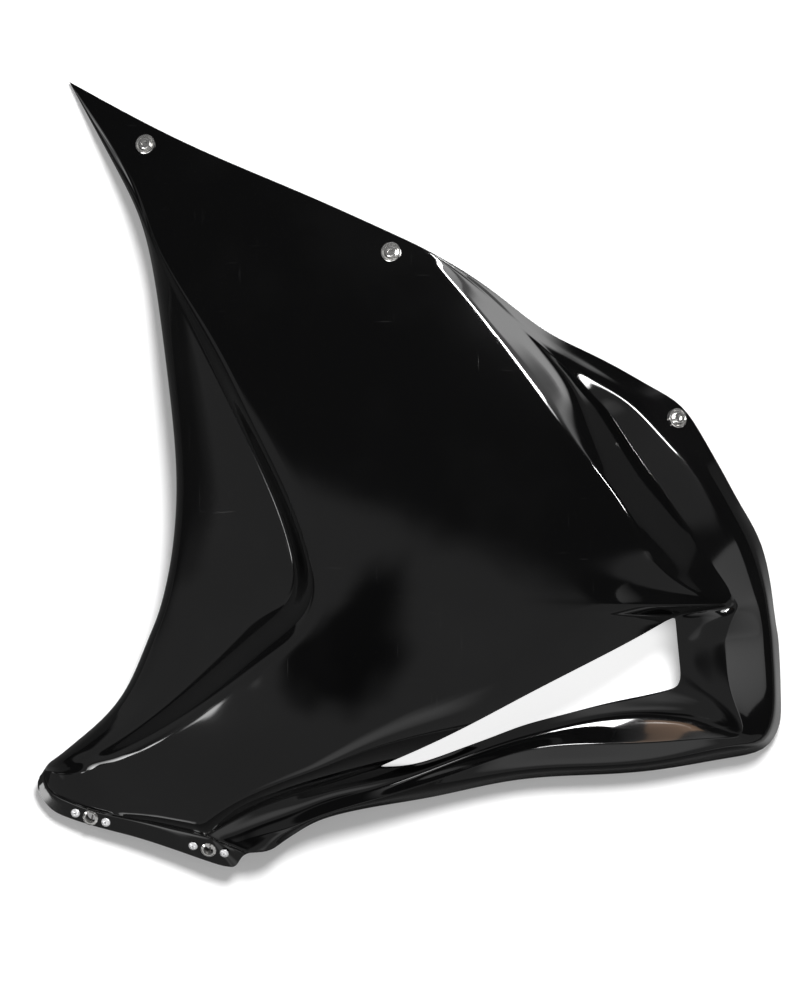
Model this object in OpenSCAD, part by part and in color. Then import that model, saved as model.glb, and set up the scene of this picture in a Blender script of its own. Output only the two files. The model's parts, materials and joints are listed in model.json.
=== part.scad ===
// Side fairing panel of a sport motorcycle: a moulded glass-fibre shell with an air-outlet
// loop, three captive quarter-turn studs and two riveted quarter-turn receptacles.
// It lies outer face up. X runs to the rear, Y to the top edge and Z out of the panel, in mm.

/* [Panel] */
// Length of the panel from the front flange to the rear edge of the loop
panel_length = 590; // [520:1:680]
// Height of the panel from the flange corner to the front tip
panel_height = 622; // [550:1:720]
// Depth of the body from the resting plane to its crown
panel_depth = 133; // [110:1:160]
// Thickness of the moulded wall
wall = 2.5; // [2:0.1:3.5]
// Width of the rolled strip along the front edge
lip_width = 7; // [5:0.5:10]
// Height that the front strip rolls down
lip_roll = 8; // [4:0.5:11]
// Rounding reach of the creases in the air-outlet loop
crease_reach = 8; // [4:0.5:12]

/* [Front flange] */
// Height of the step from the panel down to the flange
joggle_step = 3; // [2:0.1:4]
// Plan width of that step
joggle_run = 1.6; // [1:0.1:3]
// Slope of the flange below that step, in degrees
flange_tilt = 19; // [10:1:30]

/* [Quarter-turn studs] */
// Diameter of the cup that each stud sits in
cup_width = 15.5; // [13:0.1:18]
// Height of the cup's rim above the panel
cup_height = 2; // [1.6:0.1:3]
// Thickness of the cup's rim
cup_rim = 1.1; // [0.8:0.1:1.5]
// Thickness of the cup's floor
cup_floor = 0.8; // [0.6:0.1:1]
// Outer diameter of the cup's sleeve through the panel
sleeve_width = 9.6; // [9:0.1:11]
// Diameter of the stud's raised head
head_width = 8.6; // [8:0.1:9.4]
// Height of the stud's head
head_height = 2.6; // [2:0.1:4]
// Hexagon socket in the head, across its flats
socket_width = 4; // [3:0.5:5]
// Depth of that socket
socket_depth = 1.8; // [1:0.1:1.9]
// Diameter of the stud's shank
shank_width = 6; // [5:0.1:7]
// Length of the shank behind the head
shank_length = 15; // [13:0.5:20]
// Diameter of the shank's round end, which enters a receptacle
end_width = 5.6; // [4.5:0.1:6]
// Diameter of its slotted tip
tip_width = 5.2; // [4:0.1:5.8]
// Diameter of the ring that holds the cup from behind
back_ring_width = 14; // [12:0.1:16]
// Thickness of that ring
back_ring_thickness = 1.2; // [0.8:0.1:1.6]
// Diameter of the clip that keeps the stud captive
clip_width = 10; // [9:0.1:12]
// Thickness of that clip
clip_thickness = 0.8; // [0.6:0.1:1.2]

/* [Riveted receptacles] */
// Distance between the two rivets of a receptacle
rivet_spacing = 25.4; // [22:0.1:30]
// Diameter of a rivet's head
rivet_head_width = 7.2; // [6:0.1:8]
// Height of a rivet's head
rivet_head_height = 1.5; // [1:0.1:2]
// Diameter of a rivet's body
rivet_width = 3.2; // [2.8:0.1:4]
// Diameter of the hole that the pulled pin leaves in a rivet
rivet_bore = 1.3; // [1:0.1:1.6]
// Outer diameter of the serrated eyelet
eyelet_width = 12.4; // [11:0.1:14]
// Height of the eyelet's face above the flange
eyelet_height = 1.4; // [1:0.1:2]
// Bore of the eyelet, which takes a stud
eyelet_bore = 8; // [7:0.1:9]
// Wall of the eyelet's sleeve through the flange
eyelet_wall = 0.8; // [0.6:0.1:1]
// Width of the plate behind the flange, round the eyelet
plate_width = 15; // [14:0.1:18]
// Width of the plate's ears, round the rivets
ear_width = 8; // [7:0.1:10]
// Thickness of the plate
plate_thickness = 1; // [0.8:0.1:1.5]
// Depth of the plate's barrel
barrel_depth = 4.5; // [4:0.1:6]
// Bore of that barrel
barrel_bore = 9; // [8.5:0.1:10]
// Wall of that barrel
barrel_wall = 1; // [0.8:0.1:1.4]
// Diameter of the spring wire that crosses the barrel
spring_wire = 1.2; // [0.8:0.1:1.6]

/* [Hidden] */
STUDS = ["front", "middle", "rear"];
RECEPTACLES = ["fore", "aft"];
NODES = concat(
    ["shell"],
    [for (s = STUDS) each [str(s, "_cup"), str(s, "_back_ring"), str(s, "_stud"), str(s, "_clip")]],
    [for (r = RECEPTACLES) each [
        str(r, "_eyelet"), str(r, "_plate"), str(r, "_spring"), str(r, "_rivet_a"), str(r, "_rivet_b")
    ]]
);
node = "all";

outer_color = [0.07, 0.07, 0.075];
steel_color = [0.72, 0.72, 0.70];
rivet_color = [0.80, 0.80, 0.82];
$fn = 48;
hex_sides = 6;

// Pieces that seat on the moulded wall stand this far off it, and turning pieces this far apart.
seat_gap = 0.3;
// A shank turns in its sleeve with this much play over the diameter.
shank_play = 0.1;
// A hole in the wall is this much wider than what passes through it.
hole_play = 0.4;
overrun = 1;
landing_depth = 2;

// The outline is laid out on a drawing sheet whose sides are these parts of it.
sheet_part_share = [0.747, 0.788];
sheet = [panel_length / sheet_part_share[0], panel_height / sheet_part_share[1]];

// Spine of the body: from the front tip to the beak over the vent, with the crown's height along it.
tip_share = [0.068, 0.920];
beak_share = [0.727, 0.394];
spine_step_shares = [0, 0.15, 0.25, 0.35, 0.45, 0.55, 0.65, 0.75, 0.85];
spine_height_shares = [0.06, 0.36, 0.60, 0.80, 0.94, 1, 0.965, 0.84, 0.625];
// How the body falls to the sides of the spine: a square and a fourth power term.
side_fall_share = 0.83;
side_curl_share = 5.6;

// Free and shared outline of the body, in runs: place on the sheet and drop below the crown.
top_run_shares = [[0.068, 0.920, 0], [0.184, 0.858, 0], [0.300, 0.807, 0], [0.418, 0.753, 0]];
crease_run_shares = [
    [0.418, 0.753, 0], [0.473, 0.693, 0], [0.534, 0.613, 0], [0.583, 0.546, 0], [0.616, 0.504, 0],
    [0.639, 0.466, 0], [0.661, 0.431, 0.01], [0.685, 0.413, 0.06], [0.705, 0.403, 0.12],
    [0.727, 0.394, 0.18]
];
beak_run_shares = [[0.727, 0.394, 0.18], [0.700, 0.389, 0.205], [0.675, 0.385, 0.19]];
vent_top_run_shares = [
    [0.675, 0.385, 0.19], [0.640, 0.365, 0.125], [0.598, 0.343, 0.085], [0.520, 0.303, 0.065],
    [0.477, 0.280, 0.08], [0.429, 0.256, 0.14], [0.3735, 0.2314, 0.25]
];
groove_run_shares = [
    [0.3735, 0.2314, 0.25], [0.317, 0.214, 0.24], [0.269, 0.197, 0.20], [0.230, 0.178, 0.14],
    [0.208, 0.164, 0.09]
];
joggle_run_shares = [
    [0.208, 0.164, 0.09], [0.165, 0.174, 0.06], [0.135, 0.1805, 0.03], [0.096, 0.189, -0.035],
    [0.064, 0.2005, -0.085], [0.051, 0.208, -0.10], [0.045, 0.218, -0.09], [0.043, 0.229, -0.07]
];
// Where each run ends along the body, and its number of steps.
run_end_shares = [0, 0.26, 0.50, 0.53, 0.70, 0.83, 1];
run_steps = [8, 14, 3, 8, 6, 12];
// Along the body: the share of a section at which it starts to roll down to the outline.
roll_start_shares = [
    [0, 0.8], [0.44, 0.74], [0.53, 0.7], [0.60, 0.67], [0.66, 0.67], [0.73, 0.8], [1, 0.86]
];

// Sections of the front recess: station, front edge, height of the edge, foot, ridge, step depth.
recess_shares = [
    [0, [0.068, 0.920], 0.06, [0.068, 0.920], [0.068, 0.920], 0],
    [0.088, [0.119, 0.826], 0.27, [0.132, 0.815], [0.136, 0.814], 0.005],
    [0.145, [0.143, 0.772], 0.345, [0.152, 0.759], [0.157, 0.756], 0.015],
    [0.203, [0.157, 0.704], 0.42, [0.178, 0.699], [0.190, 0.698], 0.035],
    [0.26, [0.165, 0.645], 0.465, [0.204, 0.645], [0.221, 0.645], 0.07],
    [0.325, [0.173, 0.576], 0.48, [0.239, 0.575], [0.257, 0.572], 0.12],
    [0.3925, [0.1765, 0.508], 0.465, [0.275, 0.495], [0.294, 0.495], 0.155],
    [0.45, [0.173, 0.456], 0.435, [0.291, 0.443], [0.313, 0.437], 0.18],
    [0.50, [0.167, 0.420], 0.41, [0.289, 0.411], [0.317, 0.403], 0.19],
    [0.54, [0.160, 0.392], 0.395, [0.275, 0.395], [0.309, 0.377], 0.195],
    [0.60, [0.148, 0.361], 0.365, [0.246, 0.372], [0.286, 0.352], 0.19],
    [0.67, [0.129, 0.317], 0.33, [0.203, 0.333], [0.243, 0.317], 0.175],
    [0.743, [0.105, 0.284], 0.265, [0.158, 0.293], [0.191, 0.278], 0.13],
    [0.83, [0.077, 0.259], 0.205, [0.110, 0.257], [0.136, 0.245], 0.07],
    [0.91, [0.056, 0.242], 0.165, [0.077, 0.2375], [0.092, 0.230], 0.025],
    [0.966, [0.0465, 0.2345], 0.145, [0.056, 0.230], [0.061, 0.225], 0.005],
    [1, [0.043, 0.229], 0.135, [0.043, 0.229], [0.043, 0.229], 0]
];

// Vent edges of the loop: place and height.
vent_side_shares = [[0.678, 0.350, 0.45], [0.680, 0.328, 0.425], [0.679, 0.317, 0.41]];
vent_corner_shares = [0.675, 0.311, 0.40];
vent_low_shares = [
    [0.640, 0.302, 0.365], [0.600, 0.294, 0.335], [0.560, 0.284, 0.32], [0.520, 0.273, 0.32],
    [0.499, 0.265, 0.325], [0.451, 0.247, 0.37], [0.414, 0.235, 0.43]
];
// Where each run of the loop's inner edge ends, and its number of steps.
loop_end_shares = [0, 0.40, 0.46, 0.58, 0.84, 1];
loop_steps = [14, 3, 6, 14, 6];

// Sections of the loop: station, then flank top, foot, outer ridge and free edge.
loop_shares = [
    [0, [0.418, 0.753, 0.86], [0.418, 0.753, 0.86], [0.418, 0.753, 0.86], [0.418, 0.753, 0.86]],
    [0.0675, [0.485, 0.702, 0.905], [0.487, 0.704, 0.895], [0.489, 0.706, 0.89], [0.493, 0.707, 0.88]],
    [0.108, [0.526, 0.661, 0.935], [0.529, 0.664, 0.92], [0.532, 0.667, 0.91], [0.538, 0.672, 0.885]],
    [0.152, [0.560, 0.626, 0.945], [0.566, 0.630, 0.865], [0.570, 0.640, 0.86], [0.582, 0.649, 0.80]],
    [0.194, [0.578, 0.592, 0.945], [0.592, 0.603, 0.79], [0.606, 0.617, 0.795], [0.628, 0.6255, 0.70]],
    [0.22, [0.590, 0.562, 0.925], [0.605, 0.590, 0.735], [0.629, 0.599, 0.745], [0.657, 0.609, 0.64]],
    [0.245, [0.606, 0.532, 0.90], [0.620, 0.568, 0.69], [0.652, 0.578, 0.70], [0.683, 0.592, 0.585]],
    [0.265, [0.623, 0.506, 0.875], [0.637, 0.542, 0.655], [0.675, 0.556, 0.66], [0.699, 0.568, 0.54]],
    [0.30, [0.649, 0.468, 0.815], [0.663, 0.507, 0.60], [0.703, 0.526, 0.605], [0.722, 0.528, 0.485]],
    [0.3375, [0.676, 0.437, 0.71], [0.694, 0.459, 0.55], [0.730, 0.485, 0.545], [0.742, 0.492, 0.42]],
    [0.37, [0.700, 0.415, 0.585], [0.717, 0.427, 0.505], [0.749, 0.448, 0.49], [0.761, 0.457, 0.365]],
    [0.40, [0.730, 0.396, 0.458], [0.735, 0.400, 0.465], [0.761, 0.415, 0.445], [0.770, 0.420, 0.325]],
    [0.43, [0.722, 0.389, 0.452], [0.735, 0.388, 0.455], [0.766, 0.398, 0.43], [0.773, 0.400, 0.295]],
    [0.46, [0.702, 0.378, 0.46], [0.728, 0.372, 0.44], [0.769, 0.378, 0.41], [0.776, 0.378, 0.27]],
    [0.516, [0.702, 0.348, 0.43], [0.726, 0.345, 0.42], [0.772, 0.345, 0.38], [0.780, 0.345, 0.225]],
    [0.555, [0.707, 0.312, 0.41], [0.733, 0.300, 0.40], [0.774, 0.290, 0.34], [0.782, 0.288, 0.165]],
    [0.571, [0.708, 0.300, 0.40], [0.742, 0.278, 0.385], [0.770, 0.270, 0.32], [0.779, 0.268, 0.135]],
    [0.58, [0.706, 0.294, 0.385], [0.744, 0.267, 0.38], [0.764, 0.258, 0.31], [0.771, 0.254, 0.12]],
    [0.60, [0.690, 0.284, 0.33], [0.722, 0.262, 0.38], [0.730, 0.250, 0.32], [0.735, 0.242, 0.12]],
    [0.63, [0.645, 0.278, 0.30], [0.660, 0.258, 0.38], [0.664, 0.237, 0.32], [0.665, 0.230, 0.13]],
    [0.68, [0.560, 0.267, 0.29], [0.560, 0.255, 0.38], [0.560, 0.230, 0.32], [0.560, 0.223, 0.15]],
    [0.735, [0.492, 0.250, 0.30], [0.492, 0.240, 0.38], [0.487, 0.221, 0.325], [0.487, 0.214, 0.17]],
    [0.785, [0.437, 0.233, 0.33], [0.437, 0.220, 0.39], [0.430, 0.209, 0.34], [0.431, 0.202, 0.195]],
    [0.84, [0.372, 0.214, 0.38], [0.369, 0.199, 0.405], [0.3675, 0.195, 0.37], [0.366, 0.191, 0.23]],
    [0.885, [0.324, 0.203, 0.37], [0.320, 0.184, 0.385], [0.3195, 0.182, 0.36], [0.319, 0.179, 0.25]],
    [0.92, [0.286, 0.188, 0.36], [0.290, 0.172, 0.365], [0.295, 0.1695, 0.35], [0.297, 0.167, 0.268]],
    [0.955, [0.252, 0.175, 0.34], [0.263, 0.165, 0.346], [0.273, 0.159, 0.341], [0.279, 0.155, 0.30]],
    [0.985, [0.226, 0.163, 0.33], [0.240, 0.158, 0.333], [0.255, 0.150, 0.331], [0.264, 0.1475, 0.318]],
    [1, [0.216, 0.160, 0.3275], [0.228, 0.155, 0.3305], [0.240, 0.150, 0.331], [0.250, 0.147, 0.33]]
];

// Free edge of the front flange, from its rear end to its front end: share of the way and place.
flange_shares = [
    [0, [0.250, 0.147]], [0.12, [0.240, 0.140]], [0.20, [0.231, 0.132]], [0.26, [0.215, 0.1355]],
    [0.36, [0.190, 0.144]], [0.46, [0.161, 0.154]], [0.58, [0.128, 0.164]], [0.72, [0.088, 0.1745]],
    [0.83, [0.058, 0.185]], [0.90, [0.045, 0.195]], [0.94, [0.0365, 0.208]], [0.975, [0.036, 0.220]],
    [1, [0.043, 0.229]]
];

lip_steps = 3;
recess_steps = 5;
flank_steps = 5;
body_steps = 11;
bend_steps = 3;
lip_turn = 75;
recess_bulge = 1.6;
corner_start_share = 0.86;
body_bulge = 1.4;
reach_limit_share = 0.48;
step_limit_share = 0.3;
full_step_runs = 4;
least_upright = 0.1;
seam_thickening = 1.3;
steep_thickening = 2.2;
// Corners of the wall's sheets are rounded to this grain, so that sheets which share an edge meet.
grain = 0.002;

// Plain helpers
function mix(a, b, t) = a * (1 - t) + b * t;
function ease(t) = let (c = max(0, min(1, t))) c * c * (3 - 2 * c);
function last(list) = list[len(list) - 1];
function column(table, i) = [for (row = table) row[i]];
function flatten(lists) = [for (part = lists) each part];
function backwards(list) = [for (i = [len(list) - 1:-1:0]) list[i]];

// Natural cubic spline through values at rising stations
function sweep(k, v, i = 1, c = [0], d = []) =
    i == len(k) - 1 ? [c, d] :
    let (
        a = k[i] - k[i - 1],
        b = k[i + 1] - k[i],
        old = i == 1 ? v[0] * 0 : last(d),
        q = 2 * (a + b) - a * c[i - 1],
        r = ((v[i + 1] - v[i]) / b - (v[i] - v[i - 1]) / a) * 6
    )
    sweep(k, v, i + 1, concat(c, [b / q]), concat(d, [(r - old * a) / q]));
function unwind(c, d, i, m) = i == 0 ? m : unwind(c, d, i - 1, concat([d[i - 1] - m[0] * c[i]], m));
function bends(k, v) =
    len(k) < 3 ? [for (x = v) x * 0] :
    let (cd = sweep(k, v), none = v[0] * 0)
    concat([none], unwind(cd[0], cd[1], len(k) - 2, [none]));
function spline(k, v) = [k, v, bends(k, v)];
function span(k, s, i = 0) = i >= len(k) - 2 || s <= k[i + 1] ? i : span(k, s, i + 1);
function along(curve, s) =
    let (
        k = curve[0],
        i = span(k, s),
        h = k[i + 1] - k[i],
        b = (s - k[i]) / h,
        a = 1 - b
    )
    curve[1][i] * a + curve[1][i + 1] * b
    + (curve[2][i] * (a * a * a - a) + curve[2][i + 1] * (b * b * b - b)) * h * h / 6;
function chords(points, i = 0, far = [0]) =
    i == len(points) - 1 ? far :
    chords(points, i + 1, concat(far, [last(far) + norm([
        points[i + 1][0] - points[i][0], points[i + 1][1] - points[i][1]])]));
function curve_through(points) = let (k = chords(points)) spline(k / last(k), points);

// Crown of the body over a place on the sheet, as a share of the depth
spine_unit = (beak_share - tip_share) / norm(beak_share - tip_share);
spine_curve = spline(spine_step_shares, spine_height_shares);
function crown(place) =
    let (
        from_tip = [place[0], place[1]] - tip_share,
        u = from_tip * spine_unit,
        v = from_tip[0] * spine_unit[1] - from_tip[1] * spine_unit[0]
    )
    along(spine_curve, u) - side_fall_share * v * v - side_curl_share * v * v * v * v;

// Outline of the body: place and drop at station s
body_runs = [
    curve_through(top_run_shares), curve_through(crease_run_shares), curve_through(beak_run_shares),
    curve_through(vent_top_run_shares), curve_through(groove_run_shares),
    curve_through(joggle_run_shares)
];
function body_edge(run, t) = along(body_runs[run], t);
function edge_point(run, t) = let (e = body_edge(run, t)) [e[0], e[1], crown(e) - e[2]];

recess_station = column(recess_shares, 0);
front_curve = spline(recess_station, column(recess_shares, 1));
front_height = spline(recess_station, column(recess_shares, 2));
foot_curve = spline(recess_station, column(recess_shares, 3));
ridge_curve = spline(recess_station, column(recess_shares, 4));
depth_curve = spline(recess_station, column(recess_shares, 5));

function scaled(p) = [p[0] * sheet[0], p[1] * sheet[1]];
function plan_gap(a, b) = norm(scaled(b) - scaled(a));

// One cross-section of the body, from the front edge to the outline
function body_section(s, run, t) =
    let (
        edge = body_edge(run, t),
        end = [edge[0], edge[1]],
        front = along(front_curve, s),
        foot = along(foot_curve, s),
        ridge = along(ridge_curve, s),
        corner = ease((s - corner_start_share) / (1 - corner_start_share)),
        ridge_top = crown(ridge) - edge[2] * corner,
        low = ridge_top - along(depth_curve, s),
        front_top = along(front_height, s),
        taper = min(1, plan_gap(front, foot) / (2 * lip_width)),
        lip_far = min(lip_width, plan_gap(front, foot) / 2),
        lip = plan_gap(front, foot) == 0 ? front : mix(front, foot, lip_far / plan_gap(front, foot)),
        to_foot = plan_gap(lip, foot),
        to_ridge = to_foot + plan_gap(foot, ridge),
        rise = low - front_top,
        slope = to_ridge == 0 ? 0 : rise * recess_bulge / to_ridge,
        roll_start = lookup(s, roll_start_shares)
    )
    concat(
        [for (i = [0:lip_steps - 1]) let (
            turn = lip_turn * (1 - i / lip_steps),
            out = sin(turn) / sin(lip_turn),
            down = (1 - cos(turn)) / (1 - cos(lip_turn)),
            p = mix(lip, front, out)
        ) [p[0], p[1], front_top - slope * lip_far * out - taper * down * lip_roll / panel_depth]],
        [for (i = [0:recess_steps - 1]) let (
            t = i / recess_steps,
            q = to_ridge == 0 ? 0 : t * to_foot / to_ridge,
            p = mix(lip, foot, t)
        ) [p[0], p[1], front_top + rise * (1 - pow(1 - q, recess_bulge))]],
        [for (i = [0:flank_steps - 1]) let (
            t = i / flank_steps,
            q = to_ridge == 0 ? 0 : (to_foot + t * (to_ridge - to_foot)) / to_ridge,
            p = mix(foot, ridge, t),
            under = front_top + rise * (1 - pow(1 - q, recess_bulge)),
            over = crown(p) - edge[2] * corner
        ) [p[0], p[1], mix(under, over, ease(t))]],
        [for (i = [0:body_steps]) let (
            f = 1 - pow(1 - i / body_steps, body_bulge),
            p = mix(ridge, end, f),
            near = max(0, (f - roll_start) / (1 - roll_start)),
            w = max(near * near, corner)
        ) [p[0], p[1], crown(p) - edge[2] * w]]
    );

// The sections draw in to one point at the front tip and at the flange's front corner.
function pole(p) = [for (i = [0:lip_steps + recess_steps + flank_steps + body_steps]) p];
body_rows = flatten([for (run = [0:len(run_steps) - 1])
    [for (i = [0:run_steps[run] - (run == len(run_steps) - 1 ? 0 : 1)])
        let (t = i / run_steps[run])
        run == 0 && i == 0 ? pole(edge_point(0, 0)) :
        run == len(run_steps) - 1 && i == run_steps[run] ? pole(edge_point(run, 1)) :
        body_section(mix(run_end_shares[run], run_end_shares[run + 1], t), run, t)]]);

// Inner edge of the loop, run by run, in the same steps as the body where they share it
beak_end = edge_point(2, 1);
vent_end = edge_point(3, 1);
vent_side = curve_through(concat([beak_end], vent_side_shares, [vent_corner_shares]));
vent_low = curve_through(concat([vent_corner_shares], vent_low_shares, [vent_end]));
function loop_edge(run, t) =
    run == 0 ? edge_point(1, t) :
    run == 1 ? edge_point(2, t) :
    run == 2 ? along(vent_side, t) :
    run == 3 ? along(vent_low, t) :
    edge_point(4, t);

loop_station = column(loop_shares, 0);
loop_rails = [for (i = [1:4]) spline(loop_station, column(loop_shares, i))];

function real(p) = [p[0] * sheet[0], p[1] * sheet[1], p[2] * panel_depth];
function reach(from, to) =
    let (far = norm(to - from))
    far == 0 ? 0 : min(crease_reach / far, reach_limit_share);
function rounded(a, b, c) =
    let (
        start = mix(b, a, reach(b, a)),
        stop = mix(b, c, reach(b, c))
    )
    [for (i = [0:bend_steps]) let (t = i / bend_steps)
        start * (1 - t) * (1 - t) + b * 2 * t * (1 - t) + stop * t * t];
function loop_section(p, run, t) =
    let (
        inner = real(loop_edge(run, t)),
        rail = [for (curve = loop_rails) real(along(curve, p))],
        pole = p == 0,
        knots = pole ? [for (i = [0:4]) inner] : concat([inner], rail)
    )
    concat(
        [knots[0], mix(knots[0], knots[1], 0.5)],
        rounded(knots[0], knots[1], knots[2]),
        rounded(knots[1], knots[2], knots[3]),
        [mix(knots[2], knots[3], 0.5)],
        rounded(knots[2], knots[3], knots[4]),
        [knots[4]]
    );
loop_rows = flatten([for (run = [0:len(loop_steps) - 1])
    [for (i = [0:loop_steps[run] - (run == len(loop_steps) - 1 ? 0 : 1)])
        let (t = i / loop_steps[run])
        loop_section(mix(loop_end_shares[run], loop_end_shares[run + 1], t), run, t)]]);

// Flange: from the joggle line down the step and out to its free edge
flange_station = column(flange_shares, 0);
flange_curve = spline(flange_station, column(flange_shares, 1));
joggle_line = concat(
    backwards(last(loop_rows)),
    [for (i = [1:last(run_steps)]) real(edge_point(5, i / last(run_steps)))]
);
joggle_far = let (k = chords(joggle_line)) k / last(k);
flange_rows = [for (i = [0:len(joggle_line) - 1]) let (
        at = joggle_line[i],
        out = along(flange_curve, joggle_far[i]),
        free = [out[0] * sheet[0], out[1] * sheet[1]],
        wide = norm(free - [at[0], at[1]]),
        full = min(1, wide / (full_step_runs * joggle_run)),
        foot = mix([at[0], at[1]], free, wide == 0 ? 0 : min(joggle_run / wide, step_limit_share)),
        stepped = [foot[0], foot[1], at[2] - joggle_step * full],
        fall = norm(free - [foot[0], foot[1]]) * tan(flange_tilt),
        outermost = [free[0], free[1], stepped[2] - fall]
    )
    i == 0 || i == len(joggle_line) - 1 ? [at, at, at, at] :
    [at, stepped, (stepped + outermost) / 2, outermost]];

// Wall: every patch has an outer and an inner sheet, set apart along Z by the wall over the slope
function thick(rows, i, j) =
    i == 0 || j == 0 || i == len(rows) - 1 || j == len(rows[0]) - 1 ? wall * seam_thickening :
    let (
        n = cross(rows[i + 1][j] - rows[i - 1][j], rows[i][j + 1] - rows[i][j - 1]),
        up = norm(n) == 0 ? 1 : abs(n[2]) / norm(n)
    )
    wall * min(steep_thickening, 1 / max(up, least_upright));
function inner_sheet(rows) = [for (i = [0:len(rows) - 1])
    [for (j = [0:len(rows[0]) - 1]) rows[i][j] - [0, 0, thick(rows, i, j)]]];

body_outer = [for (row = body_rows) [for (p = row) real(p)]];
body_inner = inner_sheet(body_outer);
loop_inner = inner_sheet(loop_rows);
flange_inner = inner_sheet(flange_rows);

function quad(a, b, c, d) = [[a, b, c], [a, c, d]];
function skin(rows, up) = flatten([for (i = [0:len(rows) - 2]) flatten([for (j = [0:len(rows[0]) - 2])
    up ? quad(rows[i][j], rows[i][j + 1], rows[i + 1][j + 1], rows[i + 1][j])
       : quad(rows[i][j], rows[i + 1][j], rows[i + 1][j + 1], rows[i][j + 1])])]);
function rim(outer, inner, j, from, to, front) = flatten([for (i = [from:to - 1])
    front ? quad(outer[i][j], outer[i + 1][j], inner[i + 1][j], inner[i][j])
          : quad(outer[i][j], inner[i][j], inner[i + 1][j], outer[i + 1][j])]);

body_last = len(body_outer[0]) - 1;
loop_last = len(loop_rows[0]) - 1;
top_end = run_steps[0];
vent_from = run_steps[0] + run_steps[1] + run_steps[2];
vent_to = vent_from + run_steps[3];
loop_vent_from = loop_steps[0] + loop_steps[1];
loop_vent_to = loop_vent_from + loop_steps[2] + loop_steps[3];

all_triangles = concat(
    skin(body_outer, true), skin(body_inner, false),
    skin(loop_rows, true), skin(loop_inner, false),
    skin(flange_rows, true), skin(flange_inner, false),
    rim(body_outer, body_inner, 0, 0, len(body_outer) - 1, true),
    rim(body_outer, body_inner, body_last, 0, top_end, false),
    rim(body_outer, body_inner, body_last, vent_from, vent_to, false),
    rim(loop_rows, loop_inner, 0, loop_vent_from, loop_vent_to, true),
    rim(loop_rows, loop_inner, loop_last, 0, len(loop_rows) - 1, false),
    rim(flange_rows, flange_inner, 3, 0, len(flange_rows) - 1, false)
);
function snapped(p) = [for (x = p) round(x / grain) * grain];
function whole(t) = t[0] != t[1] && t[1] != t[2] && t[2] != t[0];
snapped_triangles = [for (t = all_triangles) [for (p = t) snapped(p)]];
solid_triangles = [for (t = snapped_triangles) if (whole(t)) t];
corner_points = flatten(solid_triangles);
low_corner = [for (i = [0:2]) min(column(corner_points, i))];
high_corner = [for (i = [0:2]) max(column(corner_points, i))];
shift = [-(low_corner[0] + high_corner[0]) / 2, -(low_corner[1] + high_corner[1]) / 2, -low_corner[2]];

// Seats of the fixings: each is a frame on the outer face, with its third axis out of the panel
stud_place_shares = [[0.1452, 0.8561], [0.391, 0.7464]];
rear_stud_shares = [0.25, 0.62];
receptacle_shares = [[0.715, 0.5], [0.245, 0.5]];
probe_share = 0.01;
flange_probe_share = 0.07;

function unit(v) = v / norm(v);
function frame_at(point, out, toward) =
    let (z = unit(out), y = unit(cross(z, toward)), x = cross(y, z))
    [
        [x[0], y[0], z[0], point[0]], [x[1], y[1], z[1], point[1]],
        [x[2], y[2], z[2], point[2]], [0, 0, 0, 1]
    ];
function crown_point(place) = real([place[0], place[1], crown(place)]) + shift;
function body_seat(place) =
    let (
        across = crown_point(place + [probe_share, 0]) - crown_point(place - [probe_share, 0]),
        upward = crown_point(place + [0, probe_share]) - crown_point(place - [0, probe_share])
    )
    frame_at(crown_point(place), cross(across, upward), across);
function rear_flank(p, w) =
    mix(real(along(loop_rails[2], p)), real(along(loop_rails[3], p)), w) + shift;
function flank_seat(p, w) =
    let (
        down = rear_flank(p + probe_share, w) - rear_flank(p - probe_share, w),
        out = rear_flank(p, 1) - rear_flank(p, 0)
    )
    frame_at(rear_flank(p, w), cross(out, down) * (cross(out, down)[2] > 0 ? 1 : -1), out);
function flange_point(q, w) =
    let (
        i = span(joggle_far, q),
        t = (q - joggle_far[i]) / (joggle_far[i + 1] - joggle_far[i])
    )
    mix(
        mix(flange_rows[i][1], flange_rows[i][3], w),
        mix(flange_rows[i + 1][1], flange_rows[i + 1][3], w),
        t
    ) + shift;
function flange_seat(q, w) =
    let (
        fore = flange_point(q + flange_probe_share, w) - flange_point(q - flange_probe_share, w),
        out = flange_point(q, 1) - flange_point(q, 0)
    )
    frame_at(flange_point(q, w), cross(out, fore) * (cross(out, fore)[2] > 0 ? 1 : -1), fore);

stud_seats = [
    body_seat(stud_place_shares[0]), body_seat(stud_place_shares[1]),
    flank_seat(rear_stud_shares[0], rear_stud_shares[1])
];
receptacle_seats = [for (r = receptacle_shares) flange_seat(r[0], r[1])];

sleeve_bore = shank_width + shank_play;
sleeve_end = -(wall + seat_gap + back_ring_thickness);
clip_top = sleeve_end - seat_gap;
head_base = 2 * seat_gap + cup_floor;
end_top = clip_top - clip_thickness - 2 * seat_gap;
slot_depth = shank_length / 4;
end_base = head_base - shank_length + slot_depth + seat_gap;
plate_top = -(wall + seat_gap);
plate_base = plate_top - plate_thickness;
barrel_end = plate_base - barrel_depth;

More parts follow.
